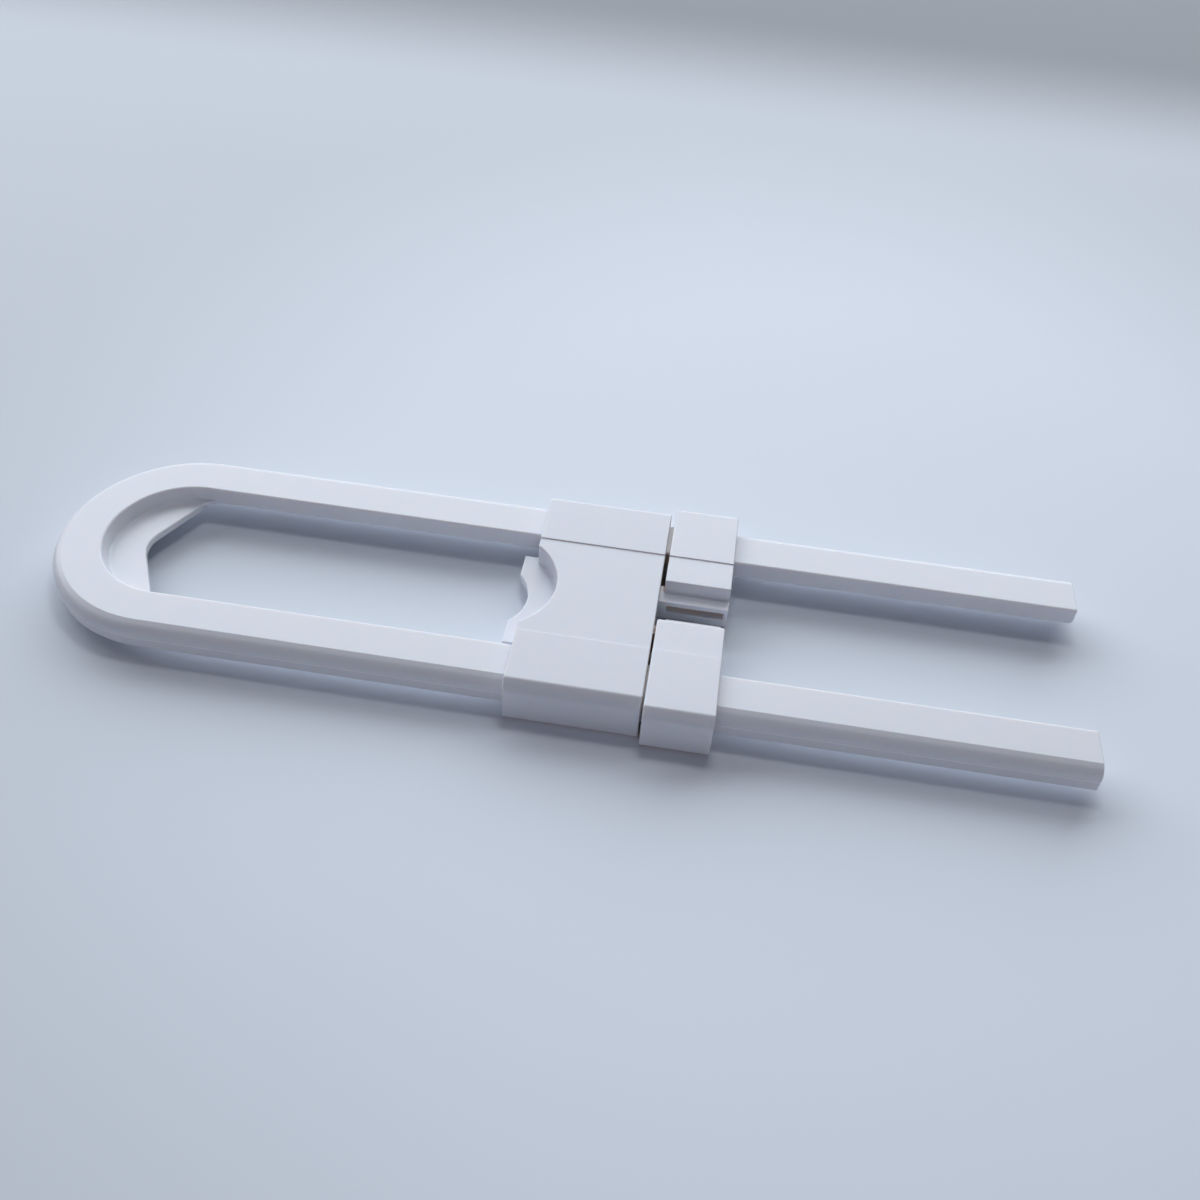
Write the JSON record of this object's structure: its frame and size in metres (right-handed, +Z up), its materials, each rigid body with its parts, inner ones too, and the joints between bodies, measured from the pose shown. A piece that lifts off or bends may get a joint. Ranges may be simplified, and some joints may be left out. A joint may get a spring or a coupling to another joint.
{
  "type": "cabinet safety lock",
  "caption": "U-shaped sliding child-safety lock: the looped bar goes round door knobs and a ratcheting housing with squeeze buttons closes it.",
  "frame": {"origin": "middle of the lock's length and width, at the level of the surface that it lies on", "axes": "+X along the arms from the bend to the free ends, +Y from the front arm to the back arm, +Z up out of the sunk panel"},
  "size_m": [0.1922, 0.0534, 0.0094],
  "materials": {
    "bar_plastic": "satin white moulded plastic",
    "housing_plastic": "satin white moulded plastic",
    "base_plastic": "plain white moulded plastic",
    "button_plastic": "satin white moulded plastic",
    "spring_wire": "drawn spring wire"
  },
  "bodies": {
    "housing": {"housing": "housing_plastic", "base_plate": "base_plastic", "front_spring": "spring_wire", "back_spring": "spring_wire"},
    "bar": {"shackle": "bar_plastic"},
    "front_button": {"front_button": "button_plastic"},
    "back_button": {"back_button": "button_plastic"}
  },
  "joints": [
    {"name": "bar_slide", "type": "slide", "parent": "housing", "child": "bar", "axis": [1, 0, 0], "range_m": [-0.105, 0.06]},
    {"name": "front_button_press", "type": "slide", "parent": "housing", "child": "front_button", "axis": [0, 1, 0], "range_m": [0, 0.0019], "stiffness_N_per_m": 900, "springref_m": -0.003, "deforming": ["front_spring"]},
    {"name": "back_button_press", "type": "slide", "parent": "housing", "child": "back_button", "axis": [0, -1, 0], "range_m": [0, 0.0019], "stiffness_N_per_m": 900, "springref_m": -0.003, "deforming": ["back_spring"]}
  ]
}
